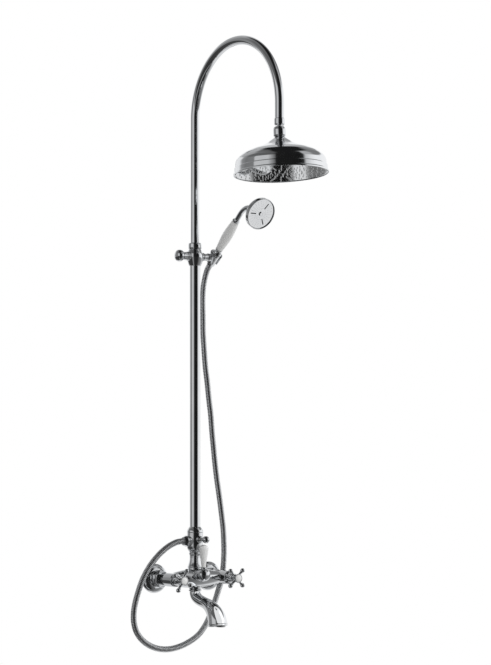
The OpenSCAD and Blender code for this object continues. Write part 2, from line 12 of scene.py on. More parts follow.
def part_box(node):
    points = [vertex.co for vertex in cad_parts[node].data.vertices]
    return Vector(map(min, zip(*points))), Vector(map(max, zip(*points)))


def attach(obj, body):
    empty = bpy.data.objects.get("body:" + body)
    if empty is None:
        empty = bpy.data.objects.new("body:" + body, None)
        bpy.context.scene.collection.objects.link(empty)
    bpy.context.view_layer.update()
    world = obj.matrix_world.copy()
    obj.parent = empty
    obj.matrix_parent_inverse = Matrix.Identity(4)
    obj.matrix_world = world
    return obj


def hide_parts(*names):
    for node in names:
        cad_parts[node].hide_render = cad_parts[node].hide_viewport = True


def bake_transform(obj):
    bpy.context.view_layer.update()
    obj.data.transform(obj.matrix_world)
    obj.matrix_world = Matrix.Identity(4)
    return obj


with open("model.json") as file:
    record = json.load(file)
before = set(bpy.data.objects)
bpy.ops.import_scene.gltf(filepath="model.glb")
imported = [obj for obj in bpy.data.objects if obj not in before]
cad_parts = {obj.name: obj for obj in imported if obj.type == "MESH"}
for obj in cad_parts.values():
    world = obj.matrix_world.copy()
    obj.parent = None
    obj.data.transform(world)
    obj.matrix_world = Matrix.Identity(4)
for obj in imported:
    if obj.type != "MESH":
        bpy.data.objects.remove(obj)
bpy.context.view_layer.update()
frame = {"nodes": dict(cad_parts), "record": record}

MM = 0.001
CAD = frame["nodes"]
BODY = {n: b for b, ns in frame["record"]["behaviour"]["bodies"].items() for n in ns}
scene = bpy.context.scene
scene.view_settings.view_transform = "Standard"


def add_object(name, data):
    """A new object in the scene."""
    obj = bpy.data.objects.new(name, data)
    scene.collection.objects.link(obj)
    return obj


# ---- Camera ----

CAMERA_AT = (-2.777, -3.950, 0.314)
CAMERA_AZIMUTH = math.radians(-36.87)
TOWARDS_CAMERA = Vector((math.sin(CAMERA_AZIMUTH), -math.cos(CAMERA_AZIMUTH), 0))
RIGHT_OF_CAMERA = Vector((math.cos(CAMERA_AZIMUTH), math.sin(CAMERA_AZIMUTH), 0))
camera = add_object("camera", bpy.data.cameras.new("camera"))
scene.camera = camera
camera.location = CAMERA_AT
camera.rotation_euler = (math.radians(90), 0, CAMERA_AZIMUTH)
camera.data.lens = 113.9
camera.data.sensor_width = 36
camera.data.shift_y = 0.1617
camera.data.clip_end = 40


# ---- Frames of the CAD source ----


def shift(x, y, z):
    """A move in mm, as a matrix in metres."""
    return Matrix.Translation(Vector((x, y, z)) * MM)


def turn(degrees, axis):
    """A turn about the X, Y or Z axis, as a matrix."""
    return Matrix.Rotation(math.radians(degrees), 4, axis)


# The CAD source's driving dimensions, in mm and degrees
RISER_OFF = 56
INLET_X = 75
BRACKET_Z = 731
ARCH_R = 156.5
ARCH_Z = 1041
ARM_OFF = RISER_OFF + 2 * ARCH_R
BALL_Z = 979
BALL_TO_FACE = 93.2
ROSE_LEAN = -4
OUTLET_Z = 85
KNOB_Z = 89
LEVER_Z = 9
LEVER_OFF = 90
HANDSET_X = 54
HANDSET_LEAN = 47.5
NECK_START = 116
BEND_START = 136
NECK_R = 42
NECK_TURN = 67.5


def forward(x, z):
    """+Z points into the room, and starts on the wall."""
    return shift(x, 0, z) @ turn(90, "X")


def leftward(z):
    """+Z points left from the riser's axis."""
    return shift(0, -RISER_OFF, z) @ turn(-90, "Y")


def rightward(z):
    """+Z points right from the riser's axis."""
    return shift(0, -RISER_OFF, z) @ turn(90, "Y")


ON_RISER = shift(0, -RISER_OFF, 0)
ON_ARM = shift(0, -ARM_OFF, 0)
ON_BALL = shift(0, -ARM_OFF, BALL_Z) @ turn(ROSE_LEAN, "X")
ON_ROSE = ON_BALL @ shift(0, 0, -BALL_TO_FACE)
ON_HANDSET = shift(HANDSET_X, -RISER_OFF, BRACKET_Z) @ turn(HANDSET_LEAN, "X")
FACE_DROP = NECK_R * (math.cos(math.radians(NECK_TURN)) - 1)
FACE_REACH = BEND_START + NECK_R * math.sin(math.radians(NECK_TURN))
ON_FACE = ON_HANDSET @ shift(0, FACE_DROP, FACE_REACH) @ turn(NECK_TURN, "X")
# Square to the plane that the spout, the arm and the handset's neck each lie in
ACROSS = Vector((1, 0, 0))


# ---- Materials ----


def material(name):
    """A new node material, its tree and its Principled shader."""
    m = bpy.data.materials.new(name)
    m.use_nodes = True
    tree = m.node_tree
    shader = tree.nodes["Principled BSDF"]
    return m, tree, shader


def feed(tree, socket, value):
    """Sets a socket to a number, or links another socket to it."""
    if isinstance(value, (int, float)):
        socket.default_value = value
    else:
        tree.links.new(value, socket)


def noise(tree, scale, detail):
    """Noise fixed to the object, with scale cells to the metre."""
    where = tree.nodes.new("ShaderNodeTexCoord")
    n = tree.nodes.new("ShaderNodeTexNoise")
    n.inputs["Scale"].default_value = scale
    n.inputs["Detail"].default_value = detail
    tree.links.new(where.outputs["Object"], n.inputs["Vector"])
    return n.outputs["Fac"]


def spread(tree, value, low, high):
    """Maps noise from its usual 0.3..0.7 to low..high."""
    r = tree.nodes.new("ShaderNodeMapRange")
    r.inputs["From Min"].default_value = 0.3
    r.inputs["From Max"].default_value = 0.7
    r.inputs["To Min"].default_value = low
    r.inputs["To Max"].default_value = high
    tree.links.new(value, r.inputs["Value"])
    return r.outputs["Result"]


def tint(tree, value, low, high):
    """A colour between low and high, by noise."""
    m = tree.nodes.new("ShaderNodeMix")
    m.data_type = "RGBA"
    m.inputs["A"].default_value = (*low, 1)
    m.inputs["B"].default_value = (*high, 1)
    tree.links.new(spread(tree, value, 0, 1), m.inputs["Factor"])
    return m.outputs["Result"]


def bump(tree, shader, heights, distance):
    """Raises the surface by heights, up to distance in metres."""
    b = tree.nodes.new("ShaderNodeBump")
    b.inputs["Distance"].default_value = distance
    tree.links.new(heights, b.inputs["Height"])
    tree.links.new(b.outputs["Normal"], shader.inputs["Normal"])


def mixed(tree, a, b, share):
    """Value a with a share of value b in it."""
    m = tree.nodes.new("ShaderNodeMix")
    for socket, value in (("Factor", share), ("A", a), ("B", b)):
        feed(tree, m.inputs[socket], value)
    return m.outputs["Result"]


def metal(name, low, high, rough, wave, wave_height):
    """Plated or bare metal: cloudy polish, fine wipe marks and a faint cast wave."""
    m, tree, shader = material(name)
    shader.inputs["Metallic"].default_value = 1
    cloud = noise(tree, 38, 4)
    fine = noise(tree, 420, 2)
    tree.links.new(tint(tree, cloud, low, high), shader.inputs["Base Color"])
    polish = mixed(tree, cloud, fine, 0.35)
    tree.links.new(spread(tree, polish, *rough), shader.inputs["Roughness"])
    bump(tree, shader, noise(tree, wave, 2), wave_height)
    return m


def porcelain():
    """White glazed porcelain."""
    m, tree, shader = material("porcelain")
    cloud = noise(tree, 55, 4)
    fleck = noise(tree, 900, 2)
    speckle = mixed(tree, cloud, fleck, 0.3)
    colour = tint(tree, speckle, (0.80, 0.802, 0.80), (0.87, 0.872, 0.87))
    tree.links.new(colour, shader.inputs["Base Color"])
    tree.links.new(spread(tree, cloud, 0.20, 0.30), shader.inputs["Roughness"])
    shader.inputs["Coat Weight"].default_value = 1
    shader.inputs["Coat Roughness"].default_value = 0.03
    bump(tree, shader, noise(tree, 40, 2), 0.00003)
    return m


def rubber():
    """Black rubber with a fine grain."""
    m, tree, shader = material("rubber")
    grain = noise(tree, 1600, 3)
    cloud = noise(tree, 90, 3)
    colour = tint(tree, cloud, (0.018, 0.019, 0.021), (0.04, 0.041, 0.043))
    tree.links.new(colour, shader.inputs["Base Color"])
    tree.links.new(spread(tree, grain, 0.45, 0.7), shader.inputs["Roughness"])
    bump(tree, shader, grain, 0.0001)
    return m


def silicone():
    """Grey jet rubber."""
    m, tree, shader = material("jets")
    cloud = noise(tree, 240, 3)
    colour = tint(tree, cloud, (0.70, 0.71, 0.72), (0.78, 0.79, 0.80))
    tree.links.new(colour, shader.inputs["Base Color"])
    tree.links.new(spread(tree, cloud, 0.32, 0.45), shader.inputs["Roughness"])
    return m


def floor_paint():
    """Pale matt paint."""
    m, tree, shader = material("floor_paint")
    cloud = noise(tree, 1.5, 4)
    colour = tint(tree, cloud, (0.79, 0.79, 0.78), (0.83, 0.83, 0.82))
    tree.links.new(colour, shader.inputs["Base Color"])
    tree.links.new(spread(tree, noise(tree, 60, 3), 0.6, 0.75), shader.inputs["Roughness"])
    bump(tree, shader, noise(tree, 260, 3), 0.0002)
    return m


MATERIALS = {
    "chrome": metal(
        "chrome", (0.80, 0.815, 0.83), (0.86, 0.87, 0.88), rough=(0.03, 0.075),
        wave=14, wave_height=0.000015),
    "hose_metal": metal(
        "hose_metal", (0.76, 0.77, 0.78), (0.86, 0.87, 0.88), rough=(0.22, 0.34),
        wave=120, wave_height=0.00001),
    "brass": metal(
        "brass", (0.62, 0.45, 0.22), (0.74, 0.56, 0.30), rough=(0.2, 0.38),
        wave=500, wave_height=0.00006),
    "porcelain": porcelain(),
    "rubber": rubber(),
    "jets": silicone(),
}


# ---- Mesh building ----


def cleaned(mesh, weld=0.0):
    """Welds points closer than weld, turns the normals outwards and shades smooth."""
    bm = bmesh.new()
    bm.from_mesh(mesh)
    if weld:
        bmesh.ops.remove_doubles(bm, verts=bm.verts, dist=weld)
    bmesh.ops.recalc_face_normals(bm, faces=bm.faces)
    bm.to_mesh(mesh)
    bm.free()
    mesh.shade_smooth()


def mesh_object(name, verts, faces):
    """A smooth mesh in the scene, from points in metres."""
    mesh = bpy.data.meshes.new(name)
    mesh.from_pydata([tuple(v) for v in verts], [], faces)
    cleaned(mesh)
    return add_object(name, mesh)


def evaluated_mesh(obj):
    """A new mesh of an object as its modifiers or its curve make it."""
    dg = bpy.context.evaluated_depsgraph_get()
    return bpy.data.meshes.new_from_object(obj.evaluated_get(dg))


def filleted(obj, voxel, relax):
    """Remeshes an object in voxels and smooths it relax times, which leaves fillets. voxel is in mm."""
    r = obj.modifiers.new("union", "REMESH")
    r.mode = "VOXEL"
    r.voxel_size = voxel * MM
    s = obj.modifiers.new("fillets", "SMOOTH")
    s.factor = 0.5
    s.iterations = relax
    mesh = evaluated_mesh(obj)
    obj.modifiers.clear()
    obj.data = mesh
    mesh.shade_smooth()
    return obj


def even_shading(obj):
    """Flat faces stay flat beside their small rounded edges."""
    w = obj.modifiers.new("even_shading", "WEIGHTED_NORMAL")
    w.mode = "FACE_AREA"
    w.weight = 60
    return obj


def place(obj, finish, *nodes, body=None):
    """Gives a piece its material and its body, and hides the CAD nodes it stands for."""
    obj.data.materials.clear()
    obj.data.materials.append(MATERIALS[finish])
    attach(obj, body or BODY[nodes[0]])
    if nodes:
        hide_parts(*nodes)


# The usual round on a sharp corner, and a radius that counts as on the axis, in mm
EDGE, ON_AXIS = 0.35, 1e-4
# Bends in degrees: a corner is sharp above the first, and no corner below the second
SHARP, STRAIGHT_ON = 38, 1.5
# The most that a round takes off the shorter side of a sharp corner, and of a gentle one
SHARP_CUT, GENTLE_CUT = 0.3, 0.47


def rounded(loop, closed, edge=EDGE):
    """An outline with rounds: edge mm on its sharp corners, and nearly half a side on its gentle ones."""
    out = []
    n = len(loop)
    for i in range(n):
        p = Vector(loop[i])
        if not closed and i in (0, n - 1):
            out.append(p)
            continue
        a, b = Vector(loop[i - 1]) - p, Vector(loop[(i + 1) % n]) - p
        if min(a.length, b.length) == 0:
            continue
        bend = 180 - math.degrees(a.angle(b))
        if bend < STRAIGHT_ON:
            out.append(p)
            continue
        short = min(a.length, b.length)
        if bend > SHARP:
            cut, steps = min(edge, SHARP_CUT * short), 4
        else:
            cut, steps = GENTLE_CUT * short, max(2, round(bend / 4))
        a, b = p + a.normalized() * cut, p + b.normalized() * cut
        for k in range(steps + 1):
            t = k / steps
            out.append((1 - t) ** 2 * a + 2 * t * (1 - t) * p + t * t * b)
    return out


def straight(m):
    """Stations along a straight axis: the +Z axis of frame m."""
    u, v = m.to_3x3() @ Vector((1, 0, 0)), m.to_3x3() @ Vector((0, 1, 0))
    return lambda s: (m @ Vector((0, 0, s * MM)), u, v)


def heading(points, k):
    """The direction of a curve at its point k."""
    return (points[min(k + 1, len(points) - 1)] - points[max(k - 1, 0)]).normalized()


def along(points, side):
    """Stations along a curve in a plane, and its length in mm. side is square to the plane."""
    lengths = [0.0]
    for a, b in zip(points, points[1:]):
        lengths.append(lengths[-1] + (b - a).length)
    total = lengths[-1]

    def at(s):
        """The point at a station in mm, and two directions across the curve there."""
        s = min(max(s * MM, 0), total)
        i = max(0, min(len(points) - 2, int(np.searchsorted(lengths, s)) - 1))
        t = (s - lengths[i]) / (lengths[i + 1] - lengths[i])
        d = heading(points, i).lerp(heading(points, i + 1), t).normalized()
        return points[i].lerp(points[i + 1], t), side, d.cross(side).normalized()

    return at, total / MM


def bridged(a, b):
    """Faces between two rings of point numbers. A ring on the axis has one point."""
    n = max(len(a), len(b))
    if n == 1:
        return []
    if len(a) == 1:
        return [(a[0], b[k], b[(k + 1) % n]) for k in range(n)]
    if len(b) == 1:
        return [(a[k], b[0], a[(k + 1) % n]) for k in range(n)]
    return [(a[k], b[k], b[(k + 1) % n], a[(k + 1) % n]) for k in range(n)]


def ring_shell(outline, closed, at, sides, radius=None):
    """Points and faces of an outline of [radius, station] turned about an axis or along a curve.

    radius, when given, works out the reach from a ring's own radius and the angle round it.
    """
    verts, rings = [], []
    for r, s in outline:
        o, u, v = at(float(s))
        if r < ON_AXIS:
            rings.append([len(verts)])
            verts.append(o)
            continue
        ring = []
        for k in range(sides):
            a = 2 * math.pi * k / sides
            reach = float(radius(r, a) if radius else r) * MM
            ring.append(len(verts))
            verts.append(o + reach * (math.cos(a) * u + math.sin(a) * v))
        rings.append(ring)
    following = rings[1:] + rings[:1] if closed else rings[1:]
    faces = [face for a, b in zip(rings, following) for face in bridged(a, b)]
    return verts, faces


def joined(shells):
    """Points and faces of several shells as one."""
    verts, faces = [], []
    for v, f in shells:
        faces += [tuple(i + len(verts) for i in face) for face in f]
        verts += v
    return verts, faces


def capped(outline):
    """An outline whose ends go in to the axis."""
    return [(0, outline[0][1]), *outline, (0, outline[-1][1])]


def rings_of(node, m):
    """A turned CAD node's rings about frame m's Z axis, as [radius, height] in mm, and their neighbours."""
    same_ring = 0.05
    mesh = CAD[node].data
    back = m.inverted()
    rings, ring_of = [], []
    for v in mesh.vertices:
        p = back @ v.co / MM
        key = (math.hypot(p.x, p.y), p.z)
        found = next((i for i, r in enumerate(rings) if math.dist(r, key) < same_ring), None)
        if found is None:
            found = len(rings)
            rings.append(key)
        ring_of.append(found)
    near = {i: set() for i in range(len(rings))}
    for e in mesh.edges:
        a, b = ring_of[e.vertices[0]], ring_of[e.vertices[1]]
        if a != b:
            near[a].add(b)
            near[b].add(a)
    return rings, near


def outline_of(node, m):
    """A turned CAD node's outline about frame m's Z axis, in mm, and whether it closes on itself."""
    rings, near = rings_of(node, m)
    path = [min(near, key=lambda k: len(near[k]))]
    while True:
        ahead = [k for k in near[path[-1]] if k not in path]
        if not ahead:
            break
        path.append(min(ahead, key=lambda k: math.dist(rings[k], rings[path[-1]])))
    if len(path) != len(rings):
        raise ValueError(f"{node}: {len(rings) - len(path)} rings are off its outline")
    return [rings[k] for k in path], path[0] in near[path[-1]] and len(path) > 2


def turned(node, m, finish, sides=96, edge=EDGE):
    """A finely turned piece for a CAD node, with its edges rounded."""
    outline, closed = outline_of(node, m)
    if not closed:
        outline = capped(outline)
    verts, faces = ring_shell(rounded(outline, closed, edge), closed, straight(m), sides)
    place(even_shading(mesh_object(node + "_finish", verts, faces)), finish, node)


def cast(name, shells, node, voxel, relax):
    """One smooth chrome casting out of overlapping closed shells."""
    place(filleted(mesh_object(name, *joined(shells)), voxel, relax), "chrome", node)


def shell(outline, m, edge=EDGE, sides=128):
    """A closed solid turned about frame m's Z axis."""
    return ring_shell(rounded(capped(outline), False, edge), False, straight(m), sides)


def ball(m, r, z):
    """A ball on frame m's Z axis."""
    arc = [(r * math.sin(a), z - r * math.cos(a)) for a in np.linspace(0, math.pi, 33)]
    return ring_shell(arc, False, straight(m), 64)


def smooth_curve(points, steps):
    """Points on a Catmull-Rom curve through the given ones."""
    p = [2 * points[0] - points[1], *points, 2 * points[-1] - points[-2]]
    out = []
    for i in range(1, len(p) - 2):
        a, b, c, d = p[i - 1 : i + 3]
        for k in range(steps):
            t = k / steps
            quadratic = (2 * a - 5 * b + 4 * c - d) * t * t
            cubic = (3 * b - a - 3 * c + d) * t ** 3
            out.append(0.5 * (2 * b + (c - a) * t + quadratic + cubic))
    out.append(points[-1])
    return out


# ---- The hose ----

# The CAD source's route, as x, distance from the wall and height, in mm
HOSE_ROUTE = [
    (-33.1, 56, 85), (-38, 56, 85), (-54, 56, 82.5), (-76, 56, 73), (-98, 56, 58), (-117, 56, 40),
    (-133, 56, 20), (-145, 56, 0), (-154, 56, -21), (-162, 56, -44), (-167, 56, -67),
    (-167, 56, -90), (-161, 56, -111), (-148, 56, -129), (-128, 56, -144), (-102, 56, -154),
    (-73, 56, -157), (-44, 56, -153), (-16, 55, -144), (11, 53, -130), (34, 48, -110),
    (54, 41, -86), (71, 33, -61), (86, 26, -37), (98, 21.5, -15), (104, 20.5, 5),
    (104, 24, 28), (101, 30, 55), (96, 36, 83), (91, 40, 113), (86, 40, 148),
    (81, 39, 184), (76, 37, 221), (72, 35, 258), (69, 33, 295), (66, 31, 333),
    (64, 29, 371), (60, 27, 409), (56, 26, 447), (52, 24, 485), (50, 22, 523),
    (48, 21, 561), (48, 20, 599), (48, 19, 636), (50, 19, 665), (53, 21, 686),
    (54, 26.6, 701.5), (54, 32.5, 709.4), (54, 40.3, 716.6),
]
HOSE_R = 7
HOSE_SIDES = 32
RING_STEP = 0.55
# Height in mm where the hose's top piece starts
HOSE_SPLIT_Z = 600
# The spiral strip: a low crown, and a groove whose half width is a share of the pitch
RIDGE_PITCH, RIDGE_DEPTH, CROWN = 3.4, 0.45, 0.12
GROOVE_HALF, GROOVE_STEEPNESS = 0.17, 1.6


def even_steps(points, step):
    """The same curve with points every step mm, and their stations."""
    lengths = np.concatenate([[0], np.cumsum([(b - a).length for a, b in zip(points, points[1:])])])
    count = round(lengths[-1] / (step * MM))
    table = np.array([list(p) for p in points])
    where = np.linspace(0, lengths[-1], count + 1)
    line = [Vector([float(np.interp(s, lengths, table[:, k])) for k in range(3)]) for s in where]
    return line, [float(s / MM) for s in where]


def carried_frames(points):
    """Each point of a curve with two directions across it, carried along without a twist."""
    side = heading(points, 0).cross(Vector((0, -1, 0)))
    frames = []
    for i, p in enumerate(points):
        d = heading(points, i)
        side = (side - side.dot(d) * d).normalized()
        frames.append((p, side, side.cross(d)))
    return frames


def strip_radius(station, turns):
    """The hose's radius in mm at a station, some turns round it."""
    phase = (station / RIDGE_PITCH + turns) % 1
    groove = max(0.0, 1 - abs(phase - 0.5) / GROOVE_HALF)
    crown = CROWN * math.cos(2 * math.pi * phase)
    return HOSE_R - CROWN + crown - RIDGE_DEPTH * min(1, groove * GROOVE_STEEPNESS)


hose_line = smooth_curve([Vector((x, -y, z)) * MM for x, y, z in HOSE_ROUTE], 12)
hose_points, hose_stations = even_steps(hose_line, RING_STEP)
hose_frames = carried_frames(hose_points)


def hose_piece(name, first, last):
    """The hose from one of its points to another."""
    n = HOSE_SIDES
    verts = []
    for i in range(first, last + 1):
        p, u, v = hose_frames[i]
        for k in range(n):
            a = 2 * math.pi * k / n
            r = strip_radius(hose_stations[i], k / n) * MM
            verts.append(p + r * (math.cos(a) * u + math.sin(a) * v))
    rings = [list(range(i, i + n)) for i in range(0, len(verts), n)]
    faces = [face for a, b in zip(rings, rings[1:]) for face in bridged(a, b)]
    for middle, rim in ((hose_points[first], rings[0]), (hose_points[last], rings[-1])):
        faces += bridged([len(verts)], rim)
        verts.append(middle)
    return mesh_object(name, verts, faces)


split = next(i for i, p in enumerate(hose_points) if p.z > HOSE_SPLIT_Z * MM)
hose_end = len(hose_points) - 1
hose = hose_piece("hose", 0, split)
hose_top = hose_piece("hose_top", split, hose_end)
for piece in (hose, hose_top):
    piece.data.materials.append(MATERIALS["hose_metal"])
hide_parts("shower_hose")
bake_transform(hose)
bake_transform(hose_top)


# ---- Wall connection and mixer ----

INLETS = {"left": -INLET_X, "right": INLET_X}
VALVES = {"hot": -INLET_X, "cold": INLET_X}
for side, x in INLETS.items():
    turned(f"wall_flange_{side}", forward(x, 0), "chrome", sides=128)
    turned(f"inlet_union_{side}", forward(x, 0), "brass", sides=64)

NUT_FLATS, NUT_ROUND_R = 34, 14
NUT_OUTLINE = [
    (11.7, 19.2), (17.0, 19), (17.6, 19.1), (19.6, 21), (19.6, 34.5), (17.6, 36.4), (17.0, 36.5),
    (11.7, 36.4)]


def hexagon(r, a):
    """A nut's radius at angle a: six flats, and a round bore inside them."""
    flat = NUT_FLATS / 2 / math.cos(math.radians((math.degrees(a) + 30) % 60 - 30))
    return min(r, flat) if r > NUT_ROUND_R else r


for side, x in INLETS.items():
    nut = ring_shell(rounded(NUT_OUTLINE, True, 0.3), True, straight(forward(x, 0)), 144, hexagon)
    nut_piece = even_shading(mesh_object(f"union_nut_{side}_finish", *nut))
    place(nut_piece, "chrome", f"union_nut_{side}")

BODY_MID_R, BODY_WAIST_R, BODY_END_R, BODY_END = 22, 12.2, 14, 75
TAPER_END, TAPER_STEP, TAPER_POWER = 69, 3, 1.9
barrel = []
for x in range(-TAPER_END, TAPER_END + 1, TAPER_STEP):
    drop = (BODY_MID_R - BODY_WAIST_R) * (abs(x) / TAPER_END) ** TAPER_POWER
    barrel.append((BODY_MID_R - drop, x))
quarter = np.linspace(0, math.pi / 2, 13)
dome = [(BODY_END_R * math.cos(a), BODY_END + BODY_END_R * math.sin(a)) for a in quarter]
barrel_outline = [(r, -z) for r, z in reversed(dome)] + barrel + dome
body_shells = [ring_shell(barrel_outline, False, straight(rightward(0)), 128)]
for x in INLETS.values():
    m = forward(x, 0)
    body_shells.append(shell([(15.5, RISER_OFF), (15.5, 87), (14.6, 88)], m))
    body_shells.append(shell([(12.8, 29.5), (12.8, 31), (11.4, 31), (11.4, RISER_OFF)], m))
body_shells.append(shell([(13.6, 40), (12.8, 78), (12.4, 80)], forward(0, LEVER_Z)))
body_shells.append(shell([(16.6, 5), (16.6, 25)], ON_RISER))
body_shells.append(shell([(13.4, -25.5), (13.4, -5)], ON_RISER))
cast("mixer_casting", body_shells, "mixer_body", voxel=0.6, relax=7)

for side, x in VALVES.items():
    turned(f"bonnet_{side}", forward(x, 0), "chrome")
    turned(f"index_{side}", forward(x, 0), "porcelain", edge=0.5)

HANDLE_OFF, ARMS_OFF, HUB_FRONT, HANDLE_REACH, HANDLE_BALL_R = 106.6, 113.4, 122, 24, 5.3
HUB = [
    (8.2, HANDLE_OFF), (9, HANDLE_OFF + 0.8), (8.6, 109.5), (8.8, 112), (8.4, 116), (9.4, 118),
    (10.3, 119.4), (10.4, 121), (10, HUB_FRONT), (8.7, HUB_FRONT), (8.7, 120.2)]
HANDLE_ARM = [
    (4, 2), (4, 9), (3.3, 11), (2.9, 14), (2.8, 17.2), (3.6, 18.3), (3.8, 18.9), (3.6, 19.5),
    (2.6, 20.4), (2.6, HANDLE_REACH)]
HANDLE_ANGLE = {"hot": 62, "cold": 45}
for side, x in VALVES.items():
    shells = [shell(HUB, forward(x, 0), 0.3)]
    for a in range(0, 360, 90):
        m = forward(x, 0) @ turn(HANDLE_ANGLE[side] + a, "Z") @ shift(0, 0, ARMS_OFF) @ turn(90, "Y")
        shells += [shell(HANDLE_ARM, m, 0.2, 64), ball(m, HANDLE_BALL_R, HANDLE_REACH)]
    cast(f"cross_handle_{side}_finish", shells, f"cross_handle_{side}", voxel=0.3, relax=3)


# ---- Spout ----

# Two cubic curves, as distance from the wall and height
NECK_CURVE = [(56, -29.2), (56, -45), (72, -48.5), (91, -53)]
MOUTH_CURVE = [(91, -53), (113, -58.2), (140, -68), (145, -103)]
NECK_STEPS, MOUTH_STEPS = 40, 60
SPOUT_NECK_R, SPOUT_FLARE, FLARE_POWER, SPOUT_WALL = 12.4, 9.1, 0.85, 2


def bezier(c, t):
    """The point at t on a cubic curve, in metres."""
    k = ((1 - t) ** 3, 3 * t * (1 - t) ** 2, 3 * t * t * (1 - t), t ** 3)
    f = sum(a * p[0] for a, p in zip(k, c))
    z = sum(a * p[1] for a, p in zip(k, c))
    return Vector((0, -f, z)) * MM


spout_line = [bezier(NECK_CURVE, i / NECK_STEPS) for i in range(NECK_STEPS)]
spout_line += [bezier(MOUTH_CURVE, i / MOUTH_STEPS) for i in range(MOUTH_STEPS + 1)]
spout_at, spout_len = along(spout_line, ACROSS)
_, spout_neck_len = along(spout_line[: NECK_STEPS + 1], ACROSS)


def spout_radius(s):
    """The spout's outer radius at a station: an even neck and an S-shaped flare."""
    t = min(max((s - spout_neck_len) / (spout_len - spout_neck_len), 0.0), 1.0) ** FLARE_POWER
    return SPOUT_NECK_R + SPOUT_FLARE * (1 - math.cos(math.pi * t)) / 2


# The bead and the inner lip, as radius and distance from the end
MOUTH_LIP = [
    (21.2, 2.9), (21.75, 2.2), (21.9, 1.4), (21.7, 0.5), (21, 0), (20.3, 0), (19.6, 0.5), (19.3, 2)]
outer = [(spout_radius(s), s) for s in np.linspace(0, spout_len - 3.2, 70)]
lip = [(r, spout_len - back) for r, back in MOUTH_LIP]
inner = [(spout_radius(s) - SPOUT_WALL, s) for s in np.linspace(spout_len - 3.5, 0, 60)]
spout = mesh_object("spout_finish", *ring_shell(outer + lip + inner, True, spout_at, 96))
place(spout, "chrome", "spout")
turned("spout_collar", ON_RISER, "chrome")


# ---- Main diverter and lever ----

turned("diverter_bonnet", forward(0, LEVER_Z), "chrome")
LEVER_CAP = [
    (13.8, 83.1), (14.8, 84.2), (14.8, 92), (14.3, 95), (12.6, 98.2), (9.8, 100.8), (6.2, 102.4),
    (3, 103), (0.5, 103.1)]
LEVER_NECK = [(6, 4), (6, 13), (5.4, 14.4), (6.4, 15.2), (6.4, 16.6), (5.8, 17.4)]
ON_LEVER = shift(0, -LEVER_OFF, LEVER_Z)
hub_shells = [shell(LEVER_CAP, forward(0, LEVER_Z)), shell(LEVER_NECK, ON_LEVER, 0.25)]
cast("lever_hub_finish", hub_shells, "lever_hub", voxel=0.32, relax=4)
turned("lever_grip", ON_LEVER, "porcelain")


# ---- Column ----

COLUMN = [
    (16.6, 25.1), (17, 26.5), (16, 29), (14.6, 33), (13, 39), (12.3, 44), (12.3, 53), (13.4, 54.5),
    (14, 56.5), (13.4, 58.5), (12.8, 59.5), (14.2, 62), (16.8, 65.5), (18.2, 69.5), (18.4, 72),
    (18.4, 103.9)]
column_shells = [
    shell(COLUMN, ON_RISER),
    shell([(11.8, 0), (11.8, 19)], leftward(OUTLET_Z)),
    shell([(7.6, RISER_OFF), (7.6, 76)], forward(0, KNOB_Z)),
]
cast("column_casting", column_shells, "diverter_column", voxel=0.45, relax=4)
turned("column_nut", ON_RISER, "chrome", sides=128)
turned("hose_outlet", leftward(OUTLET_Z), "chrome")
turned("hose_nut_outlet", leftward(OUTLET_Z), "chrome")
turned("knob_bush", forward(0, KNOB_Z), "chrome", sides=64)

KNOB_R, KNOB_CENTRE, KNOB_NECK_R = 8.4, 98.4, 3.8
knob_arc = np.linspace(math.asin(KNOB_NECK_R / KNOB_R), math.pi, 40)
knob_ball = [(KNOB_R * math.sin(a), KNOB_CENTRE - KNOB_R * math.cos(a)) for a in knob_arc]
knob_stem = [(0, 82.4), (3.6, 82.4), (4.4, 83.2), (4.1, 84.4), (3.8, 85.2), (3.5, 87.5), (3.6, 90)]
knob_outline = rounded(knob_stem + knob_ball[:1], False, 0.25)[:-1] + knob_ball[:-1]
knob_outline.append((0, KNOB_CENTRE + KNOB_R))
knob = ring_shell(knob_outline, False, straight(forward(0, KNOB_Z)), 64)
place(mesh_object("ball_knob_finish", *knob), "chrome", "ball_knob")


# ---- Riser, bracket and cradle ----

RISER_R, RISER_BORE_R = 12, 10.8
low, high = (corner.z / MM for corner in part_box("lower_riser"))
riser_loop = [(RISER_BORE_R, low), (RISER_R, low), (RISER_R, high), (RISER_BORE_R, high)]
riser = ring_shell(rounded(riser_loop, True), True, straight(ON_RISER), 96)
place(even_shading(mesh_object("lower_riser_tube", *riser)), "chrome", "lower_riser")

BULB = [
    (13.2, -21.5), (14, -20), (15.2, -17), (17, -11.5), (18.3, -6), (18.9, 0), (18.5, 5), (17.2, 10),
    (15, 14.6), (13.4, 16.8)]
bracket_shells = [
    shell([(r, BRACKET_Z + z) for r, z in BULB], ON_RISER),
    shell([(9.4, 0), (9.4, 19.5), (8.8, 20.3)], rightward(BRACKET_Z)),
    shell([(9.6, 0), (9.6, 19.6)], leftward(BRACKET_Z)),
]
cast("bracket_casting", bracket_shells, "riser_bracket", voxel=0.45, relax=5)
turned("gland_nut", ON_RISER, "chrome", sides=128)
turned("lock_knob", leftward(BRACKET_Z), "chrome")
turned("cradle_arm", rightward(BRACKET_Z), "chrome")

cradle = add_object("cradle_finish", CAD["cradle"].data.copy())
place(filleted(cradle, voxel=0.3, relax=4), "chrome", "cradle")


# ---- Arm ----

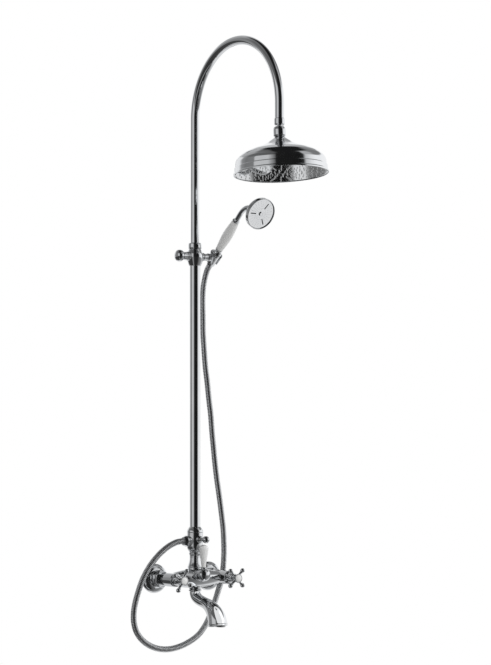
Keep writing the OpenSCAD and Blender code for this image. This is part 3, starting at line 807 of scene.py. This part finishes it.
ARM_R, ARM_BORE_R, ARM_LIP_R = 10, 8.8, 9
ARM_END_Z = BALL_Z + 21
tail_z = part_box("shower_arm")[0].z / MM
arm_line = [Vector((0, -RISER_OFF, z)) * MM for z in (tail_z, ARCH_Z - 1)]
for k in range(181):
    a = math.radians(180 - k)
    out = RISER_OFF + ARCH_R + ARCH_R * math.cos(a)
    arm_line.append(Vector((0, -out, ARCH_Z + ARCH_R * math.sin(a))) * MM)
arm_line += [Vector((0, -ARM_OFF, z)) * MM for z in (ARCH_Z - 1, ARM_END_Z)]
arm_at, arm_len = along(arm_line, ACROSS)
straight_len = ARCH_Z - tail_z
# Rings are close together round the bend, a quarter as close in the bore, and far apart elsewhere
bend_stops = np.linspace(straight_len, straight_len + math.pi * ARCH_R, 180)
stops = [0.4, 3, *np.linspace(40, straight_len - 6, 12), *bend_stops, arm_len - 3, arm_len - 0.4]
arm_loop = [(ARM_R - 0.3, 0), *((ARM_R, s) for s in stops), (ARM_R - 0.3, arm_len), (ARM_LIP_R, arm_len)]
bore_stops = (arm_len - 0.4, *bend_stops[::-4], 0.4)
arm_loop += [*((ARM_BORE_R, s) for s in bore_stops), (ARM_LIP_R, 0)]
arm = ring_shell(arm_loop, True, arm_at, 96)
place(even_shading(mesh_object("shower_arm_tube", *arm)), "chrome", "shower_arm")
turned("arm_collar", ON_ARM, "chrome")


# ---- Rose ----

turned("swivel_nut", ON_BALL, "chrome")
turned("head_shell", ON_ROSE, "chrome", sides=192, edge=0.3)
turned("nozzle_plate", ON_ROSE, "chrome", sides=128)

JET = [
    (0.4, -0.2), (0.4, -1.1), (0.55, -1.2), (0.75, -1), (0.9, 0.4), (1.3, 0.85), (1.35, 1.2),
    (0.4, 1.2)]
# Radius of each ring and its number of jets
JET_RINGS = [(12.5, 6), (23.5, 12), (34.5, 12), (45.5, 24), (56.5, 24), (67.5, 24), (78.5, 24), (89, 24)]
jets = []
for reach, count in JET_RINGS:
    for i in range(count):
        a = 2 * math.pi * (i + 0.5) / count
        m = ON_ROSE @ shift(reach * math.cos(a), reach * math.sin(a), 0)
        jets.append(ring_shell(rounded(JET, True, 0.12), True, straight(m), 16))
place(mesh_object("rose_jets", *joined(jets)), "jets", "nozzles")


# ---- Handset ----

turned("handset_ferrule", ON_HANDSET, "chrome")
turned("handset_grip", ON_HANDSET, "porcelain", edge=0.6)
turned("handset_ring", ON_HANDSET, "chrome")
turned("hose_nut_handset", ON_HANDSET, "chrome")
turned("handset_shell", ON_FACE, "chrome", sides=128, edge=0.3)
turned("face_screw", ON_FACE, "chrome", sides=64, edge=0.25)

NECK_TUBE_R, NECK_BORE_R, NECK_FOOT, NECK_BEND_STEPS = 6, 3.8, 5, 45
neck_line = [ON_HANDSET @ (Vector((0, 0, s)) * MM) for s in (NECK_START, BEND_START - 1)]
for k in range(NECK_BEND_STEPS + 1):
    a = math.radians(NECK_TURN * k / NECK_BEND_STEPS)
    p = Vector((0, NECK_R * (math.cos(a) - 1), BEND_START + NECK_R * math.sin(a)))
    neck_line.append(ON_HANDSET @ (p * MM))
neck_at, neck_len = along(neck_line, ACROSS)
neck_stops = list(np.linspace(BEND_START - NECK_START - 0.5, neck_len, NECK_BEND_STEPS + 1))
neck_loop = [(7.2, 0), (6.9, 1.4), (6.4, 2.3), (6.05, 3.2)]
neck_loop += [(NECK_TUBE_R, s) for s in (NECK_FOOT, *neck_stops)]
neck_loop += [(NECK_BORE_R, s) for s in reversed([0, NECK_FOOT, *neck_stops])]
neck = ring_shell(neck_loop, True, neck_at, 64)
place(mesh_object("handset_neck_tube", *neck), "chrome", "handset_neck")

FACE_R, FACE_Z, FACE_HALF, FACE_EDGE = 33.55, 31.5, 0.85, 0.25
SLOT_ANGLES = (60, 180, 300)
SLOT_END_R, SLOT_FAR, SLOT_NEAR = 1.35, 27, 14.2


def arc_points(centre, r, start, end, count):
    """Points on an arc about (centre, 0), from start to end degrees."""
    angles = [math.radians(start + (end - start) * k / count) for k in range(count + 1)]
    return [(centre + r * math.cos(a), r * math.sin(a)) for a in angles]


def slot_loop(angle):
    """A slot with round ends, at an angle about the face's centre."""
    slot = arc_points(SLOT_FAR, SLOT_END_R, -90, 90, 8) + arc_points(SLOT_NEAR, SLOT_END_R, 90, 270, 8)
    cos, sin = math.cos(math.radians(angle)), math.sin(math.radians(angle))
    return [(x * cos - y * sin, x * sin + y * cos) for x, y in slot]


def face_plate():
    """The face plate with its three slots, all their edges rounded."""
    curve = bpy.data.curves.new("face_plate", "CURVE")
    curve.dimensions = "2D"
    curve.fill_mode = "BOTH"
    curve.extrude = FACE_HALF * MM
    curve.bevel_depth = FACE_EDGE * MM
    curve.bevel_resolution = 3
    rim = arc_points(0, FACE_R, 0, 360, 128)[:-1]
    for loop in (rim, *(slot_loop(angle) for angle in SLOT_ANGLES)):
        s = curve.splines.new("POLY")
        s.points.add(len(loop) - 1)
        for p, (x, y) in zip(s.points, loop):
            p.co = (x * MM, y * MM, 0, 1)
        s.use_cyclic_u = True
    source = add_object("face_plate_curve", curve)
    mesh = evaluated_mesh(source)
    bpy.data.objects.remove(source)
    cleaned(mesh, weld=0.01 * MM)
    mesh.transform(ON_FACE @ shift(0, 0, FACE_Z))
    return add_object("handset_face_plate", mesh)


place(even_shading(face_plate()), "chrome", "handset_face")
# Painted shade: a black rubber disc behind the face plate, so the slots read dark where the inside of the
# handset lies in shade
SLOT_SHADE_DISC = [(33.6, 29.2), (33.6, 30.1)]
slot_shade_disc = mesh_object("face_slot_shade_disc", *shell(SLOT_SHADE_DISC, ON_FACE, 0.2, 96))
place(slot_shade_disc, "rubber", body=BODY["handset_face"])

PIN = [(0, 32.4), (0.6, 32.4), (0.6, 32.9), (0.4, 33.2), (0, 33.25)]
PIN_ROWS = (9.5, 13.5, 17.5, 21.5, 25.5, 29.2)
PIN_STEP = 15
pins = []
for angle in range(0, 360, PIN_STEP):
    if angle in SLOT_ANGLES:
        continue
    # The inner row has room for every other pin only
    rows = PIN_ROWS[1:] if angle % (2 * PIN_STEP) else PIN_ROWS
    for radius in rows:
        a = math.radians(angle)
        m = ON_FACE @ shift(radius * math.cos(a), radius * math.sin(a), 0)
        pins.append(ring_shell(rounded(PIN, False, 0.1), False, straight(m), 12))
place(mesh_object("face_jets", *joined(pins)), "jets", body=BODY["handset_face"])


# ---- CAD nodes that stay ----

KEPT = {
    "rubber": ["union_washers", "column_seal", "gland_ring", "ball_seat", "head_gasket"],
    "brass": [
        "cartridge_hot", "cartridge_cold", "spindle_hot", "spindle_cold", "diverter_cartridge",
        "diverter_spindle", "knob_spindle"],
    "chrome": ["swivel_ball", "aerator"],
}
for finish, nodes in KEPT.items():
    for node in nodes:
        CAD[node].data.materials.clear()
        CAD[node].data.materials.append(MATERIALS[finish])


# ---- Floor and light ----

FLOOR_Z, FLOOR_R, FLOOR_RINGS, FLOOR_OFF = -750, 3000, 24, 200
floor_outline = [(FLOOR_R * k / FLOOR_RINGS, 0) for k in range(FLOOR_RINGS + 1)]
floor_disc = ring_shell(floor_outline, False, straight(shift(0, -FLOOR_OFF, FLOOR_Z)), 96)
floor = mesh_object("floor", *floor_disc)
floor.data.materials.append(floor_paint())
floor.visible_glossy = False


def soft_light(name, energy, size, at, aim, pieces=()):
    """A round area light; one made for named pieces lights only those and shows in their metal."""
    obj = add_object(name, bpy.data.lights.new(name, "AREA"))
    obj.data.shape = "DISK"
    obj.data.size = size
    obj.data.energy = energy
    obj.location = at
    obj.rotation_euler = (Vector(aim) - Vector(at)).to_track_quat("-Z", "Y").to_euler()
    obj.visible_glossy = bool(pieces)
    obj.visible_camera = False
    if pieces:
        lit = bpy.data.collections.new(name + "_pieces")
        for piece in pieces:
            lit.objects.link(bpy.data.objects[piece])
        obj.light_linking.receiver_collection = lit


soft_light("key_light", 90, 2.2, (1.6, -2.6, 2.9), (0, -0.2, 0.4))
soft_light("spout_light", 25, 3.4, (0.1, -1.25, 1.0), (0, -0.13, -0.08), ("spout_finish",))
soft_light(
    "face_light", 1.7, 1.1, (1.0, -1.08, -0.1), (0.054, -0.25, 0.85),
    ("handset_face_plate", "face_screw_finish", "handset_shell_finish", "handset_neck_tube"))

# Brightness of the studio by azimuth in degrees: 0 is the camera's side, and 90 is to its right
STUDIO = [
    (-180, 0.95), (-128, 0.85), (-116, 0.30), (-100, 0.20), (-74, 0.22), (-70, 0.58), (-34, 0.58),
    (-26, 0.36), (-17, 0.15), (-13, 0.012), (50, 0.010), (58, 0.03), (66, 0.62), (82, 0.85),
    (100, 1.0), (180, 0.95)]
# The same just below the horizon, where the mixer looks
STUDIO_LOW = [
    (-180, 0.75), (-132, 0.6), (-124, 0.06), (-40, 0.03), (-28, 0.35), (-18, 0.12), (-8, 0.02),
    (44, 0.02), (56, 0.10), (80, 0.22), (110, 0.30), (135, 0.75), (180, 0.75)]
# The same well above the horizon
STUDIO_MID = [
    (-180, 0.55), (-120, 0.35), (-100, 0.14), (-60, 0.12), (-26, 0.10), (-13, 0.012), (50, 0.012),
    (58, 0.03), (66, 0.45), (90, 0.45), (104, 0.22), (150, 0.20), (180, 0.55)]
# Overhead, by the sine of the direction to the right
STUDIO_HIGH = [
    (-1, 0.30), (-0.45, 0.16), (-0.30, 0.10), (-0.22, 0.012), (0.40, 0.012), (0.60, 0.5),
    (0.8, 0.9), (1, 0.9)]
# Where one of these gives way to the next, by the sine of the elevation
LOW_TO_LEVEL, LEVEL_TO_MID, MID_TO_HIGH = (-0.10, -0.03), (0.38, 0.48), (0.76, 0.86)
# Strength of the even light on rough surfaces
SOFT_LIGHT = 0.5
# Narrow dark flags far behind, mirrored in the rose's face: middle and half width, by the sine
# of the direction to the right, and how much light each takes away
FLAGS = [(0.0276, 0.0100, 0.99), (0.0487, 0.0047, 0.8)]
# Middle and half height of both flags, by the sine of the elevation
FLAGS_UP = (-0.19, 0.17)


def calc(tree, kind, *values):
    """A calculation on numbers and sockets."""
    n = tree.nodes.new("ShaderNodeMath")
    n.operation = kind
    for socket, value in zip(n.inputs, values):
        feed(tree, socket, value)
    return n.outputs["Value"]


def towards(tree, direction):
    """How far a ray goes in a direction: the cosine of the angle between them."""
    ray = tree.nodes.new("ShaderNodeTexCoord")
    n = tree.nodes.new("ShaderNodeVectorMath")
    n.operation = "DOT_PRODUCT"
    n.inputs[1].default_value = direction
    tree.links.new(ray.outputs["Generated"], n.inputs[0])
    return n.outputs["Value"]


def panels(tree, value, levels, span):
    """Levels at places along a span that has 0 in its middle; value runs from 0 to 1 over it."""
    ramp = tree.nodes.new("ShaderNodeValToRGB")
    ramp.color_ramp.interpolation = "LINEAR"
    stops = ramp.color_ramp.elements
    while len(stops) < len(levels):
        stops.new(0.5)
    for stop, (where, _) in zip(stops, levels):
        stop.position = where / span + 0.5
    for stop, (_, level) in zip(stops, levels):
        stop.color = (level, level, level, 1)
    tree.links.new(value, ramp.inputs["Fac"])
    return ramp.outputs["Color"]


def between(tree, value, start, end):
    """From 0 at start to 1 at end, smoothly."""
    n = tree.nodes.new("ShaderNodeMapRange")
    n.interpolation_type = "SMOOTHSTEP"
    n.inputs["From Min"].default_value = start
    n.inputs["From Max"].default_value = end
    tree.links.new(value, n.inputs["Value"])
    return n.outputs["Result"]


def studio_level(tree):
    """Brightness of the studio in reflections, by direction."""
    to_camera, to_right = towards(tree, TOWARDS_CAMERA), towards(tree, RIGHT_OF_CAMERA)
    up = towards(tree, (0, 0, 1))
    angle = calc(tree, "ARCTAN2", to_right, to_camera)
    azimuth = calc(tree, "MULTIPLY_ADD", angle, 0.5 / math.pi, 0.5)
    sideways = calc(tree, "MULTIPLY_ADD", to_right, 0.5, 0.5)
    level = panels(tree, azimuth, STUDIO_LOW, 360)
    for band, change in (
            (panels(tree, azimuth, STUDIO, 360), LOW_TO_LEVEL),
            (panels(tree, azimuth, STUDIO_MID, 360), LEVEL_TO_MID),
            (panels(tree, sideways, STUDIO_HIGH, 2), MID_TO_HIGH)):
        level = mixed(tree, level, band, between(tree, up, *change))
    low = calc(tree, "COMPARE", up, *FLAGS_UP)
    low_behind = calc(tree, "MULTIPLY", low, calc(tree, "LESS_THAN", to_camera, 0))
    for middle, half, taken in FLAGS:
        flag = calc(tree, "MULTIPLY", calc(tree, "COMPARE", to_right, middle, half), low_behind)
        level = calc(tree, "MULTIPLY", level, calc(tree, "MULTIPLY_ADD", flag, -taken, 1))
    return level


def background(tree, colour, strength):
    """A light from all round."""
    n = tree.nodes.new("ShaderNodeBackground")
    n.inputs["Color"].default_value = (*colour, 1)
    tree.links.new(strength, n.inputs["Strength"])
    return n.outputs["Background"]


def studio():
    """White for the camera, half as bright for rough surfaces, and panels for reflections."""
    world = bpy.data.worlds.new("studio")
    scene.world = world
    world.use_nodes = True
    tree = world.node_tree
    tree.nodes.clear()
    path = tree.nodes.new("ShaderNodeLightPath")
    paleness = calc(tree, "MULTIPLY_ADD", path.outputs["Is Camera Ray"], 1 - SOFT_LIGHT, SOFT_LIGHT)
    both = tree.nodes.new("ShaderNodeMixShader")
    tree.links.new(path.outputs["Is Glossy Ray"], both.inputs["Fac"])
    tree.links.new(background(tree, (1, 1, 1), paleness), both.inputs[1])
    tree.links.new(background(tree, (0.985, 0.99, 1), studio_level(tree)), both.inputs[2])
    out = tree.nodes.new("ShaderNodeOutputWorld")
    tree.links.new(both.outputs["Shader"], out.inputs["Surface"])


studio()
